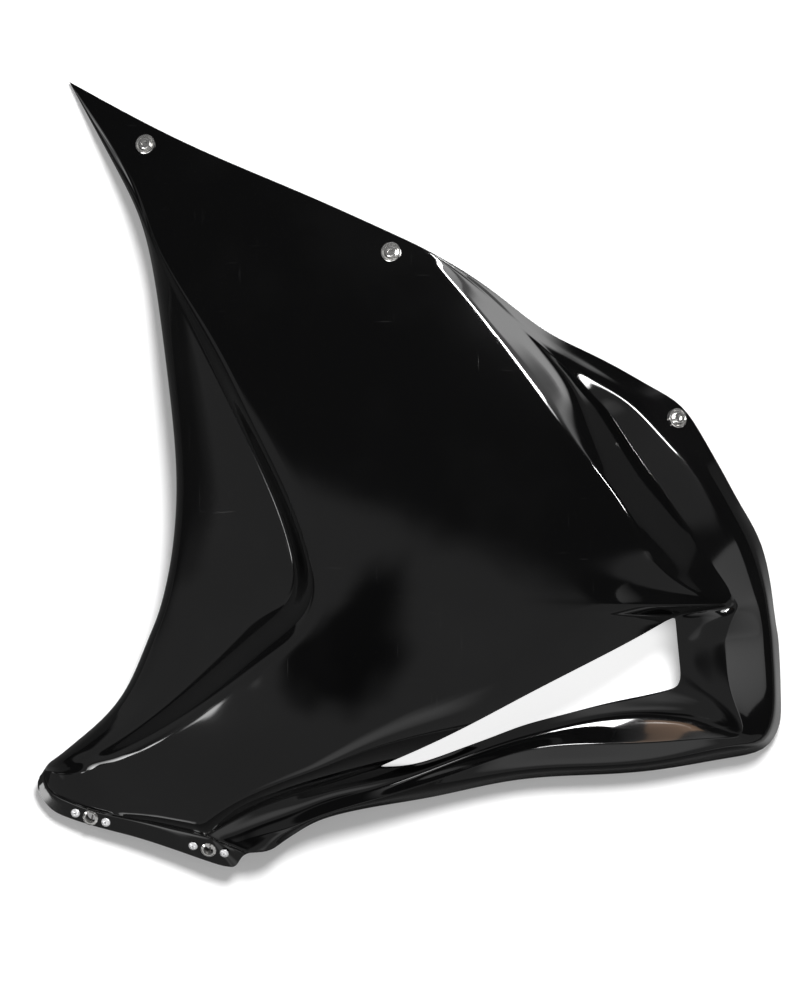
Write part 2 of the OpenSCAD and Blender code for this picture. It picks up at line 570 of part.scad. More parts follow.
module shell() {
    color(outer_color)
    difference() {
        translate(shift)
        polyhedron(
            points = corner_points,
            faces = [for (i = [0:len(solid_triangles) - 1]) [3 * i, 3 * i + 1, 3 * i + 2]]
        );
        for (seat = stud_seats)
            multmatrix(seat) {
                wall_hole(sleeve_width + hole_play);
                inner_landing(back_ring_width);
            }
        for (seat = receptacle_seats)
            multmatrix(seat) {
                wall_hole(eyelet_bore + 2 * eyelet_wall + hole_play);
                outer_landing(eyelet_width);
                inner_landing(plate_width);
                for (side = [-1, 1])
                    translate([side * rivet_spacing / 2, 0, 0]) {
                        wall_hole(rivet_width + hole_play);
                        outer_landing(rivet_head_width);
                        inner_landing(ear_width);
                    }
                translate([-rivet_spacing / 2, -ear_width / 2 - hole_play, -(wall + landing_depth)])
                cube([rivet_spacing, ear_width + 2 * hole_play, landing_depth]);
            }
    }
}

module wall_hole(width) {
    cylinder(h = 2 * (wall + overrun), d = width, center = true);
}

// Flat landings in the wall, on its outer face and on its inner one
module outer_landing(width) {
    cylinder(h = landing_depth, d = width + 2 * hole_play);
}

module inner_landing(width) {
    translate([0, 0, -(wall + landing_depth)])
    cylinder(h = landing_depth, d = width + 2 * hole_play);
}

module cup() {
    color(steel_color)
    rotate_extrude()
    polygon([
        [sleeve_bore / 2, sleeve_end], [sleeve_width / 2, sleeve_end],
        [sleeve_width / 2, seat_gap], [cup_width / 2 - cup_rim / 2, seat_gap],
        [cup_width / 2, seat_gap + cup_rim / 2], [cup_width / 2, cup_height - cup_rim / 3],
        [cup_width / 2 - cup_rim / 3, cup_height], [cup_width / 2 - cup_rim, cup_height],
        [cup_width / 2 - 2 * cup_rim, seat_gap + cup_floor], [sleeve_bore / 2, seat_gap + cup_floor]
    ]);
}

module back_ring() {
    color(steel_color)
    translate([0, 0, sleeve_end])
    difference() {
        cylinder(h = back_ring_thickness, d = back_ring_width);
        translate([0, 0, -overrun])
        cylinder(h = back_ring_thickness + 2 * overrun, d = sleeve_width);
    }
}

module stud() {
    slot = shank_width / 3;
    chamfer = head_height / 5;
    color(steel_color)
    difference() {
        union() {
            translate([0, 0, head_base])
            cylinder(h = head_height - chamfer, d = head_width);
            translate([0, 0, head_base + head_height - chamfer])
            cylinder(h = chamfer, d1 = head_width, d2 = head_width - 2 * chamfer);
            translate([0, 0, end_top])
            cylinder(h = head_base - end_top, d = shank_width);
            translate([0, 0, end_base])
            cylinder(h = head_base - end_base, d = end_width);
            translate([0, 0, head_base - shank_length])
            cylinder(h = shank_length, d = tip_width);
        }
        translate([0, 0, head_base + head_height - socket_depth])
        cylinder(h = socket_depth + overrun, d = socket_width / cos(180 / hex_sides), $fn = hex_sides);
        translate([0, 0, head_base - shank_length - overrun])
        cylinder(h = slot_depth + overrun, d = shank_width / 2);
        translate([-shank_width, -slot / 2, head_base - shank_length - overrun])
        cube([2 * shank_width, slot, slot_depth + overrun]);
    }
}

module clip() {
    gap_width = shank_width / 2;
    color(steel_color)
    translate([0, 0, clip_top - clip_thickness])
    difference() {
        cylinder(h = clip_thickness, d = clip_width);
        translate([0, 0, -overrun])
        cylinder(h = clip_thickness + 2 * overrun, d = shank_width);
        translate([0, -gap_width / 2, -overrun])
        cube([clip_width, gap_width, clip_thickness + 2 * overrun]);
    }
}

module eyelet() {
    teeth = 14;
    tooth_gap = eyelet_width / teeth;
    sleeve = eyelet_bore + 2 * eyelet_wall;
    color(steel_color)
    difference() {
        union() {
            translate([0, 0, seat_gap])
            cylinder(h = eyelet_height / 2, d = eyelet_width);
            translate([0, 0, seat_gap + eyelet_height / 2])
            cylinder(h = eyelet_height / 2, d1 = eyelet_width, d2 = sleeve);
            translate([0, 0, plate_top])
            cylinder(h = seat_gap - plate_top, d = sleeve);
        }
        translate([0, 0, plate_top - overrun])
        cylinder(h = eyelet_height + seat_gap - plate_top + 2 * overrun, d = eyelet_bore);
        for (i = [0:teeth - 1])
            rotate(i * 360 / teeth)
            translate([eyelet_width / 2, 0, 0])
            cylinder(h = eyelet_height + seat_gap + overrun, d = tooth_gap);
    }
}

module plate() {
    barrel = barrel_bore + 2 * barrel_wall;
    color(steel_color)
    difference() {
        union() {
            translate([0, 0, plate_base])
            cylinder(h = plate_thickness, d = plate_width);
            translate([-rivet_spacing / 2, -ear_width / 2, plate_base])
            cube([rivet_spacing, ear_width, plate_thickness]);
            for (side = [-1, 1])
                translate([side * rivet_spacing / 2, 0, plate_base])
                cylinder(h = plate_thickness, d = ear_width);
            translate([0, 0, barrel_end])
            cylinder(h = barrel_depth, d = barrel);
        }
        translate([0, 0, barrel_end - overrun])
        cylinder(h = barrel_depth + plate_thickness + 2 * overrun, d = barrel_bore);
        for (side = [-1, 1])
            translate([side * rivet_spacing / 2, 0, plate_base - overrun])
            cylinder(h = plate_thickness + 2 * overrun, d = rivet_width + hole_play);
        translate([0, 0, barrel_end + spring_wire])
        rotate([90, 0, 0])
        cylinder(h = 2 * barrel, d = spring_wire + shank_play, center = true);
    }
}

module spring() {
    reach = barrel_bore / 2 + barrel_wall + spring_wire;
    color(steel_color)
    translate([0, 0, barrel_end + spring_wire])
    union() {
        rotate([90, 0, 0])
        cylinder(h = 2 * reach, d = spring_wire, center = true);
        for (side = [-1, 1])
            translate([0, side * reach, 0]) {
                sphere(d = spring_wire);
                rotate([0, side * 90, 0])
                cylinder(h = barrel_bore / 2, d = spring_wire);
            }
    }
}

module rivet() {
    tail = rivet_width * 1.5;
    tail_length = rivet_width;
    dome = (rivet_head_height * rivet_head_height + rivet_head_width * rivet_head_width / 4)
        / (2 * rivet_head_height);
    color(rivet_color)
    difference() {
        union() {
            translate([0, 0, seat_gap])
            intersection() {
                cylinder(h = rivet_head_height, d = rivet_head_width);
                translate([0, 0, rivet_head_height - dome])
                sphere(r = dome);
            }
            translate([0, 0, plate_base])
            cylinder(h = seat_gap - plate_base + rivet_head_height / 4, d = rivet_width);
            translate([0, 0, plate_base - tail_length])
            cylinder(h = tail_length, d1 = rivet_width, d2 = tail);
        }
        translate([0, 0, plate_base - tail_length - overrun])
        cylinder(h = seat_gap - plate_base + tail_length + rivet_head_height + 2 * overrun, d = rivet_bore);
    }
}

function wanted(name) = node == "all" || node == name;

if (wanted("shell")) shell();
for (i = [0:len(STUDS) - 1])
    multmatrix(stud_seats[i]) {
        if (wanted(str(STUDS[i], "_cup"))) cup();
        if (wanted(str(STUDS[i], "_back_ring"))) back_ring();
        if (wanted(str(STUDS[i], "_stud"))) stud();
        if (wanted(str(STUDS[i], "_clip"))) clip();
    }
for (i = [0:len(RECEPTACLES) - 1])
    multmatrix(receptacle_seats[i]) {
        if (wanted(str(RECEPTACLES[i], "_eyelet"))) eyelet();
        if (wanted(str(RECEPTACLES[i], "_plate"))) plate();
        if (wanted(str(RECEPTACLES[i], "_spring"))) spring();
        if (wanted(str(RECEPTACLES[i], "_rivet_a"))) translate([-rivet_spacing / 2, 0, 0]) rivet();
        if (wanted(str(RECEPTACLES[i], "_rivet_b"))) translate([rivet_spacing / 2, 0, 0]) rivet();
    }
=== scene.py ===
import json
import math
import bpy
import numpy as np
from mathutils import Matrix, Vector


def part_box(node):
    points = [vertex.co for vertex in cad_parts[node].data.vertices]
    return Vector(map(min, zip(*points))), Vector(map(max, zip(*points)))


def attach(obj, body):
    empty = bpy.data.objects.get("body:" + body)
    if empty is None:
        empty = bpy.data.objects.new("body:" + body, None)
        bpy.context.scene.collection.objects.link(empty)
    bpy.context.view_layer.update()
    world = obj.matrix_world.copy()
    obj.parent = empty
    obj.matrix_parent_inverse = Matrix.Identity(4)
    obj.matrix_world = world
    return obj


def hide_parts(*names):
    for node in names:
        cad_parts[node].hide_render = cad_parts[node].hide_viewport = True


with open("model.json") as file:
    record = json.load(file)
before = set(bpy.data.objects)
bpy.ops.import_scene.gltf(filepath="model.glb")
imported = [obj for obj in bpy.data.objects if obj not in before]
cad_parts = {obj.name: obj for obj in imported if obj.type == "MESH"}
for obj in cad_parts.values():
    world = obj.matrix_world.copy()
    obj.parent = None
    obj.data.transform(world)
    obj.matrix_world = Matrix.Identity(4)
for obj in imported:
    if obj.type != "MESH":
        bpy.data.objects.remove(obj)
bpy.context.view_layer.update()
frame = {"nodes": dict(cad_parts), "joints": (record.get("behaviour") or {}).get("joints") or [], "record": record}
jointAt = {joint["name"]: joint for joint in frame["joints"]}
mountAt = {mount["name"]: mount for mount in frame["record"]["mounts"]}


def makeActive(piece):
    bpy.ops.object.select_all(action="DESELECT")
    piece.select_set(True)
    bpy.context.view_layer.objects.active = piece


def applyModifier(piece, kind, **settings):
    makeActive(piece)
    modifier = piece.modifiers.new(kind.title(), kind)
    for name, value in settings.items():
        setattr(modifier, name, value)
    bpy.ops.object.modifier_apply(modifier=modifier.name)


# Camera, straight above as in the photograph
cameraSettings = {
    "height": 10.0,
    "frameHeight": 0.7895,  # what 1000 pixels cover at the panel's own level
    "middle": (-0.0078, -0.0206),
    "sheetMiddle": (0.4, 0.5),  # the same on the drawing sheet, where 1 is the picture's height
    "focusLevel": 0.045,
}


def addCamera(settings):
    data = bpy.data.cameras.new("camera")
    data.sensor_fit = "VERTICAL"
    data.sensor_height = 36
    reach = settings["height"] - settings["focusLevel"]
    data.lens = data.sensor_height * reach / settings["frameHeight"]
    camera = bpy.data.objects.new("camera", data)
    camera.location = (*settings["middle"], settings["height"])
    bpy.context.scene.collection.objects.link(camera)
    bpy.context.scene.camera = camera


addCamera(cameraSettings)
print("camera: done")


# A shader socket that takes part in Python sums, and makes any other node
class Flow:
    def __init__(self, tree, socket=None):  # with no socket, only to make nodes
        self.tree = tree
        self.socket = socket

    def add(self, kind, settings={}, plugs={}, output=0):
        node = self.tree.nodes.new(kind)
        for name, value in settings.items():
            setattr(node, name, value)
        for name, value in plugs.items():
            if isinstance(value, Flow):
                self.tree.links.new(value.socket, node.inputs[name])
            else:
                node.inputs[name].default_value = value
        return Flow(self.tree, node.outputs[output]) if len(node.outputs) else None

    def sum(self, operation, first, second=0.0):
        return self.add("ShaderNodeMath", {"operation": operation}, {0: first, 1: second})

    def __add__(self, other):
        return self.sum("ADD", self, other)

    def __mul__(self, other):
        return self.sum("MULTIPLY", self, other)

    def __sub__(self, other):
        return self.sum("SUBTRACT", self, other)

    def __rsub__(self, other):
        return self.sum("SUBTRACT", other, self)

    __radd__ = __add__
    __rmul__ = __mul__

    def highest(self, other):
        return self.sum("MAXIMUM", self, other)

    def ramp(self, low, high):  # 0 below low, 1 above high, soft between
        return self.add(
            "ShaderNodeMapRange",
            {"interpolation_type": "SMOOTHSTEP"},
            {"Value": self, "From Min": low, "From Max": high},
        )

    def blend(self, first, second):  # colours, by this factor
        return self.add(
            "ShaderNodeMix", {"data_type": "RGBA"}, {"Factor": self, 6: first, 7: second}, output=2
        )

    def noise(self, scale, detail=2.0, roughness=0.5, distortion=0.0):
        return self.add(
            "ShaderNodeTexNoise",
            {},
            {
                "Vector": self, "Scale": scale, "Detail": detail,
                "Roughness": roughness, "Distortion": distortion,
            },
        )

    def stretched(self, scale, turn):
        return self.add("ShaderNodeMapping", {}, {"Vector": self, "Rotation": turn, "Scale": scale})

    def ray(self, kind):
        return self.add("ShaderNodeLightPath", {}, {}, kind)

    def untilMatt(self):  # 1 as long as the ray has met no matt surface, then 0
        return (1.0 - self.ray("Diffuse Depth")).highest(0.0)


def newMaterial(name):
    material = bpy.data.materials.new(name)
    material.use_nodes = True
    material.node_tree.nodes.clear()
    return material, Flow(material.node_tree)


def finishSurface(flow, shader):
    flow.add("ShaderNodeOutputMaterial", {}, {"Surface": shader})


def grey(level, tint=(1, 1, 1)):
    return (level * tint[0], level * tint[1], level * tint[2], 1)


# Finishes. An edge is where a ramp over the noise starts and stops, and sizes are in metres
gelCoatFinish = {
    "colour": grey(0.0022, (1.0, 1.0, 1.04)),
    "dustColour": grey(0.016),
    "shine": 0.065,
    "scuffShine": 0.22,
    "hazeShine": 0.02,  # added
    "hazeScale": 9.0,
    "hazeEdge": (0.45, 0.75),
    "scratches": (  # stretch of the noise, its turn, edge
        ((420, 14, 60), 0.55, (0.69, 0.74)),
        ((16, 380, 60), 0.25, (0.70, 0.75)),
    ),
    "scuffScale": 14.0,  # the scratches lie in patches
    "scuffEdge": (0.52, 0.66),
    "speckScale": 700.0,
    "speckEdge": (0.74, 0.80),
    "speckPatchScale": 30.0,
    "speckPatchEdge": (0.5, 0.7),
    "dust": (0.5, 0.6, 0.08),  # how much of its colour the scuffs, specks and haze take on
    "rippleScale": 16.0,
    "ripple": 0.00012,  # print-through of the laminate
}


def gelCoat(settings):
    material, flow = newMaterial("gelCoat")
    place = flow.add("ShaderNodeTexCoord", {}, {}, "Object")
    haze = place.noise(settings["hazeScale"], 3.0).ramp(*settings["hazeEdge"])
    oneWay, otherWay = [
        place.stretched(stretch, (0, 0, turn)).noise(1.0, 2.0, 0.6).ramp(*edge)
        for stretch, turn, edge in settings["scratches"]
    ]
    patches = place.noise(settings["scuffScale"]).ramp(*settings["scuffEdge"])
    scuffs = oneWay.highest(otherWay) * patches
    patches = place.noise(settings["speckPatchScale"]).ramp(*settings["speckPatchEdge"])
    specks = place.noise(settings["speckScale"], 1.0).ramp(*settings["speckEdge"]) * patches
    ofScuffs, ofSpecks, ofHaze = settings["dust"]
    dust = scuffs * ofScuffs + specks * ofSpecks + haze * ofHaze
    colour = dust.blend(settings["colour"], settings["dustColour"])
    duller = settings["scuffShine"] - settings["shine"]
    roughness = settings["shine"] + haze * settings["hazeShine"] + scuffs * duller
    ripples = place.noise(settings["rippleScale"], 2.0, 0.4)
    bump = flow.add(
        "ShaderNodeBump", {}, {"Strength": 1.0, "Distance": settings["ripple"], "Height": ripples}
    )
    shader = flow.add(
        "ShaderNodeBsdfPrincipled",
        {},
        {"Base Color": colour, "Roughness": roughness, "IOR": 1.5, "Normal": bump},
    )
    finishSurface(flow, shader)
    return material


rawBackFinish = {
    "resin": grey(0.012),
    "strand": grey(0.035, (1.0, 0.98, 0.92)),
    "lays": ((0.3, 190), (1.4, 170), (2.3, 210)),  # chopped strands lie every way: turn, scale
    "layAlong": 22,
    "layEdge": (0.5, 0.68),
    "shine": 0.42,
    "strandShine": 0.2,  # added
    "strandDepth": 0.0005,
}


def rawBack(settings):
    material, flow = newMaterial("rawBack")
    place = flow.add("ShaderNodeTexCoord", {}, {}, "Object")
    strands = None
    for turn, scale in settings["lays"]:
        lay = place.stretched((scale, settings["layAlong"], settings["layAlong"]), (0, 0, turn))
        lay = lay.noise(1.0, 2.0, 0.55, 0.4).ramp(*settings["layEdge"])
        strands = lay if strands is None else strands.highest(lay)
    colour = strands.blend(settings["resin"], settings["strand"])
    roughness = settings["shine"] + strands * settings["strandShine"]
    bump = flow.add(
        "ShaderNodeBump", {}, {"Strength": 0.8, "Distance": settings["strandDepth"], "Height": strands}
    )
    shader = flow.add(
        "ShaderNodeBsdfPrincipled", {}, {"Base Color": colour, "Roughness": roughness, "Normal": bump}
    )
    finishSurface(flow, shader)
    return material


metalFinish = {
    "mottleScale": 500.0,
    "wearScale": 260.0,
    "wearEdge": (0.45, 0.7),
    "wornTone": 0.85,
    "duller": 0.05,  # added to the roughness by mottle and by wear
    "bumpStrength": 0.5,
}


def metal(name, colour, shine, grain, bare, settings=metalFinish):  # bare: how little oxide it has
    material, flow = newMaterial(name)
    place = flow.add("ShaderNodeTexCoord", {}, {}, "Object")
    mottle = place.noise(settings["mottleScale"])
    wear = place.noise(settings["wearScale"]).ramp(*settings["wearEdge"])
    tone = wear.blend(grey(1, colour), grey(settings["wornTone"], colour))
    roughness = shine + mottle * settings["duller"] + wear * settings["duller"]
    bump = flow.add(
        "ShaderNodeBump", {}, {"Strength": settings["bumpStrength"], "Distance": grain, "Height": mottle}
    )
    shader = flow.add(
        "ShaderNodeBsdfPrincipled",
        {},
        {"Base Color": tone, "Metallic": bare, "Roughness": roughness, "Normal": bump},
    )
    finishSurface(flow, shader)
    return material


shellOutside = gelCoat(gelCoatFinish)
shellInside = rawBack(rawBackFinish)
brightSteel = metal("brightSteel", (0.90, 0.89, 0.87), 0.06, 0.0000004, 0.9)
springSteel = metal("springSteel", (0.42, 0.41, 0.40), 0.28, 0.00001, 0.96)
rivetAlloy = metal("rivetAlloy", (0.92, 0.92, 0.93), 0.34, 0.00001, 0.5)


def finishFor(name):
    if "rivet" in name:
        return rivetAlloy
    return springSteel if "spring" in name or "clip" in name else brightSteel


for name, node in frame["nodes"].items():
    if name != "shell":
        node.data.materials.clear()
        node.data.materials.append(finishFor(name))
print("finishes: done")


# Shell: the moulding's surface as smooth sections between drawn lines. Lengths are in metres,
# places in units of the drawing sheet and heights in shares of the depth
shellForm = {
    "length": 0.590,
    "height": 0.622,
    "depth": 0.133,
    "wall": 0.0025,
    "lipWidth": 0.007,
    "lipRoll": 0.008,
    "creaseReach": 0.008,
    "creaseMost": 0.48,  # of the way to the next crease
    "footShare": 0.12,  # the channel's foot is tighter than its ridges
    "armShares": ((0.59, 1), (0.63, 3.5), (0.70, 3.5), (0.78, 1)),  # and the arm's valley rounder
    "joggleStep": 0.003,
    "joggleRun": 0.0016,
    "joggleMost": 0.3,  # of the flange's width
    "joggleFade": 4,  # the step fades where the flange is narrower than this many runs
    "flangeTilt": 19,
    "sheetPart": (0.747, 0.788),  # the panel's share of the drawing sheet
    "seat": (0.1452, 0.8561),  # of the front stud, which says where the sheet lies in the frame
    "sideFall": 0.83,
    "sideCurl": 5.6,
    "recessBulge": 1.6,
    "bodyBulge": 1.4,
    "cornerStart": 0.86,
    "lipTurn": 75,
    "density": 2,  # sections and points for each one in the plain solid
    "bodyPoints": (3, 5, 5, 11),  # the solid's, over the lip, recess, flank and body
    "creasePoints": 3,
    "flangePoints": 4,
    "smoothing": 1,
    "smoothAngle": 38,
    "mergeDistance": 0.00002,
}
tip = np.array((0.068, 0.920))
beak = np.array((0.727, 0.394))
spineSteps = (0, 0.15, 0.25, 0.35, 0.45, 0.55, 0.65, 0.75, 0.85)
spineHeights = [0.06, 0.36, 0.60, 0.80, 0.94, 1, 0.965, 0.84, 0.625]
bodyRuns = [  # the body's outer edge, in runs from corner to corner: x, y, fall below the crown
    [[0.068, 0.920, 0], [0.184, 0.858, 0], [0.300, 0.807, 0], [0.418, 0.753, 0]],
    [
        [0.418, 0.753, 0], [0.473, 0.693, 0], [0.534, 0.613, 0], [0.583, 0.546, 0], [0.616, 0.504, 0],
        [0.639, 0.466, 0], [0.661, 0.431, 0.01], [0.685, 0.413, 0.06], [0.705, 0.403, 0.12],
        [0.727, 0.394, 0.18]
    ],
    [[0.727, 0.394, 0.18], [0.700, 0.389, 0.205], [0.675, 0.385, 0.19]],
    [
        [0.675, 0.385, 0.19], [0.640, 0.365, 0.125], [0.598, 0.343, 0.085], [0.520, 0.303, 0.065],
        [0.477, 0.280, 0.08], [0.429, 0.256, 0.14], [0.3735, 0.2314, 0.25]
    ],
    [
        [0.3735, 0.2314, 0.25], [0.317, 0.214, 0.24], [0.269, 0.197, 0.20], [0.230, 0.178, 0.14],
        [0.208, 0.164, 0.09]
    ],
    [
        [0.208, 0.164, 0.09], [0.165, 0.174, 0.06], [0.135, 0.1805, 0.03], [0.096, 0.189, -0.035],
        [0.064, 0.2005, -0.085], [0.051, 0.208, -0.10], [0.045, 0.218, -0.09], [0.043, 0.229, -0.07]
    ],
]
runEnds = (0, 0.26, 0.50, 0.53, 0.70, 0.83, 1)
runSteps = (8, 14, 3, 8, 6, 12)
rollStarts = [  # along the body, the share of its width where it begins to fall to the edge
    [0, 0.8], [0.44, 0.74], [0.53, 0.7], [0.60, 0.67], [0.66, 0.67], [0.73, 0.8], [1, 0.86]
]
recessSections = [  # along the body: front edge, its height, the flank's foot and ridge, step down
    [0, [0.068, 0.920], 0.06, [0.068, 0.920], [0.068, 0.920], 0],
    [0.088, [0.119, 0.826], 0.27, [0.132, 0.815], [0.136, 0.814], 0.005],
    [0.145, [0.143, 0.772], 0.345, [0.152, 0.759], [0.157, 0.756], 0.015],
    [0.203, [0.157, 0.704], 0.42, [0.178, 0.699], [0.190, 0.698], 0.035],
    [0.26, [0.165, 0.645], 0.465, [0.204, 0.645], [0.221, 0.645], 0.07],
    [0.325, [0.173, 0.576], 0.48, [0.239, 0.575], [0.257, 0.572], 0.12],
    [0.3925, [0.1765, 0.508], 0.465, [0.275, 0.495], [0.294, 0.495], 0.155],
    [0.45, [0.173, 0.456], 0.435, [0.291, 0.443], [0.313, 0.437], 0.18],
    [0.50, [0.167, 0.420], 0.41, [0.289, 0.411], [0.317, 0.403], 0.19],
    [0.54, [0.160, 0.392], 0.395, [0.275, 0.395], [0.309, 0.377], 0.195],
    [0.60, [0.148, 0.361], 0.365, [0.246, 0.372], [0.286, 0.352], 0.19],
    [0.67, [0.129, 0.317], 0.33, [0.203, 0.333], [0.243, 0.317], 0.175],
    [0.743, [0.105, 0.284], 0.265, [0.158, 0.293], [0.191, 0.278], 0.13],
    [0.83, [0.077, 0.259], 0.205, [0.110, 0.257], [0.136, 0.245], 0.07],
    [0.91, [0.056, 0.242], 0.165, [0.077, 0.2375], [0.092, 0.230], 0.025],
    [0.966, [0.0465, 0.2345], 0.145, [0.056, 0.230], [0.061, 0.225], 0.005],
    [1, [0.043, 0.229], 0.135, [0.043, 0.229], [0.043, 0.229], 0]
]
ventSide = [[0.678, 0.350, 0.45], [0.680, 0.328, 0.425], [0.679, 0.317, 0.41]]
ventCorner = [0.675, 0.311, 0.40]
ventLow = [
    [0.640, 0.302, 0.365], [0.600, 0.294, 0.335], [0.560, 0.284, 0.32], [0.520, 0.273, 0.32],
    [0.499, 0.265, 0.325], [0.451, 0.247, 0.37], [0.414, 0.235, 0.43]
]
loopEnds = (0, 0.40, 0.46, 0.58, 0.84, 1)
loopSteps = (14, 3, 6, 14, 6)
loopSections = [  # along the loop, four rails from the inside out: x, y, height
    [0, [0.418, 0.753, 0.86], [0.418, 0.753, 0.86], [0.418, 0.753, 0.86], [0.418, 0.753, 0.86]],
    [0.0675, [0.485, 0.702, 0.905], [0.487, 0.704, 0.895], [0.489, 0.706, 0.89], [0.493, 0.707, 0.88]],
    [0.108, [0.526, 0.661, 0.935], [0.529, 0.664, 0.92], [0.532, 0.667, 0.91], [0.538, 0.672, 0.885]],
    [0.152, [0.560, 0.626, 0.945], [0.566, 0.630, 0.865], [0.570, 0.640, 0.86], [0.582, 0.649, 0.80]],
    [0.194, [0.578, 0.592, 0.945], [0.592, 0.603, 0.79], [0.606, 0.617, 0.795], [0.628, 0.6255, 0.70]],
    [0.22, [0.590, 0.562, 0.925], [0.605, 0.590, 0.735], [0.629, 0.599, 0.745], [0.657, 0.609, 0.64]],
    [0.245, [0.606, 0.532, 0.90], [0.620, 0.568, 0.69], [0.652, 0.578, 0.70], [0.683, 0.592, 0.585]],
    [0.265, [0.623, 0.506, 0.875], [0.637, 0.542, 0.655], [0.675, 0.556, 0.66], [0.699, 0.568, 0.54]],
    [0.30, [0.649, 0.468, 0.815], [0.663, 0.507, 0.60], [0.703, 0.526, 0.605], [0.722, 0.528, 0.485]],
    [0.3375, [0.676, 0.437, 0.71], [0.694, 0.459, 0.55], [0.730, 0.485, 0.545], [0.742, 0.492, 0.42]],
    [0.37, [0.700, 0.415, 0.585], [0.717, 0.427, 0.505], [0.749, 0.448, 0.49], [0.761, 0.457, 0.365]],
    [0.40, [0.730, 0.396, 0.458], [0.735, 0.400, 0.465], [0.761, 0.415, 0.445], [0.770, 0.420, 0.325]],
    [0.43, [0.722, 0.389, 0.452], [0.735, 0.388, 0.455], [0.766, 0.398, 0.43], [0.773, 0.400, 0.295]],
    [0.46, [0.702, 0.378, 0.46], [0.728, 0.372, 0.44], [0.769, 0.378, 0.41], [0.776, 0.378, 0.27]],
    [0.516, [0.702, 0.348, 0.43], [0.726, 0.345, 0.42], [0.772, 0.345, 0.38], [0.780, 0.345, 0.225]],
    [0.555, [0.707, 0.312, 0.41], [0.733, 0.300, 0.40], [0.774, 0.290, 0.34], [0.782, 0.288, 0.165]],
    [0.571, [0.708, 0.300, 0.40], [0.742, 0.278, 0.385], [0.770, 0.270, 0.32], [0.779, 0.268, 0.135]],
    [0.58, [0.706, 0.294, 0.385], [0.744, 0.267, 0.38], [0.764, 0.258, 0.31], [0.771, 0.254, 0.12]],
    [0.60, [0.690, 0.287, 0.33], [0.722, 0.262, 0.38], [0.730, 0.250, 0.32], [0.735, 0.242, 0.12]],
    [0.63, [0.645, 0.286, 0.30], [0.660, 0.258, 0.38], [0.664, 0.237, 0.32], [0.665, 0.230, 0.13]],
    [0.68, [0.560, 0.269, 0.29], [0.560, 0.255, 0.38], [0.560, 0.230, 0.32], [0.560, 0.223, 0.15]],
    [0.735, [0.492, 0.250, 0.30], [0.492, 0.240, 0.38], [0.487, 0.221, 0.325], [0.487, 0.214, 0.17]],
    [0.785, [0.437, 0.233, 0.33], [0.437, 0.220, 0.39], [0.430, 0.209, 0.34], [0.431, 0.202, 0.195]],
    [0.84, [0.372, 0.214, 0.38], [0.369, 0.199, 0.405], [0.3675, 0.195, 0.37], [0.366, 0.191, 0.23]],
    [0.885, [0.324, 0.203, 0.37], [0.320, 0.184, 0.385], [0.3195, 0.182, 0.36], [0.319, 0.179, 0.25]],
    [0.92, [0.286, 0.188, 0.36], [0.290, 0.172, 0.365], [0.295, 0.1695, 0.35], [0.297, 0.167, 0.268]],
    [0.955, [0.252, 0.175, 0.34], [0.263, 0.165, 0.346], [0.273, 0.159, 0.341], [0.279, 0.155, 0.30]],
    [0.985, [0.226, 0.163, 0.33], [0.240, 0.158, 0.333], [0.255, 0.150, 0.331], [0.264, 0.1475, 0.318]],
    [1, [0.216, 0.160, 0.3275], [0.228, 0.155, 0.3305], [0.240, 0.150, 0.331], [0.250, 0.147, 0.33]]
]
flangeEdge = [  # along the body's lower edge, the flange's free edge
    (0, (0.250, 0.147)), (0.12, (0.240, 0.140)), (0.20, (0.231, 0.132)), (0.26, (0.215, 0.1355)),
    (0.36, (0.190, 0.144)), (0.46, (0.161, 0.154)), (0.58, (0.128, 0.164)), (0.72, (0.088, 0.1745)),
    (0.83, (0.058, 0.185)), (0.90, (0.045, 0.195)), (0.94, (0.0365, 0.208)), (0.975, (0.036, 0.220)),
    (1, (0.043, 0.229)),
]


class Spline:  # natural cubic through values at rising stations
    def __init__(self, stations, values):
        self.stations = np.array(stations, float)
        self.values = np.array(values, float).reshape(len(stations), -1)
        gap = np.diff(self.stations)
        slope = np.diff(self.values, axis=0) / gap[:, None]
        system = np.eye(len(self.stations))
        right = np.zeros_like(self.values)
        for i in range(1, len(self.stations) - 1):
            system[i, i - 1:i + 2] = gap[i - 1], 2 * (gap[i - 1] + gap[i]), gap[i]
            right[i] = 6 * (slope[i] - slope[i - 1])
        self.bend = np.linalg.solve(system, right)

    def at(self, s):
        i = int(np.clip(np.searchsorted(self.stations, s) - 1, 0, len(self.stations) - 2))
        h = self.stations[i + 1] - self.stations[i]
        b = (s - self.stations[i]) / h
        a = 1 - b
        value = self.values[i] * a + self.values[i + 1] * b
        value = value + (self.bend[i] * (a ** 3 - a) + self.bend[i + 1] * (b ** 3 - b)) * h * h / 6
        return value if len(value) > 1 else float(value[0])


def travelled(points):
    far = [0.0]
    for before, after in zip(points, points[1:]):
        far.append(far[-1] + math.dist(before[:2], after[:2]))
    return [f / far[-1] for f in far]


def splineThrough(points):
    return Spline(travelled(points), points)


def mix(a, b, t):
    return a * (1 - t) + b * t


def ease(t):
    t = min(1, max(0, t))
    return t * t * (3 - 2 * t)


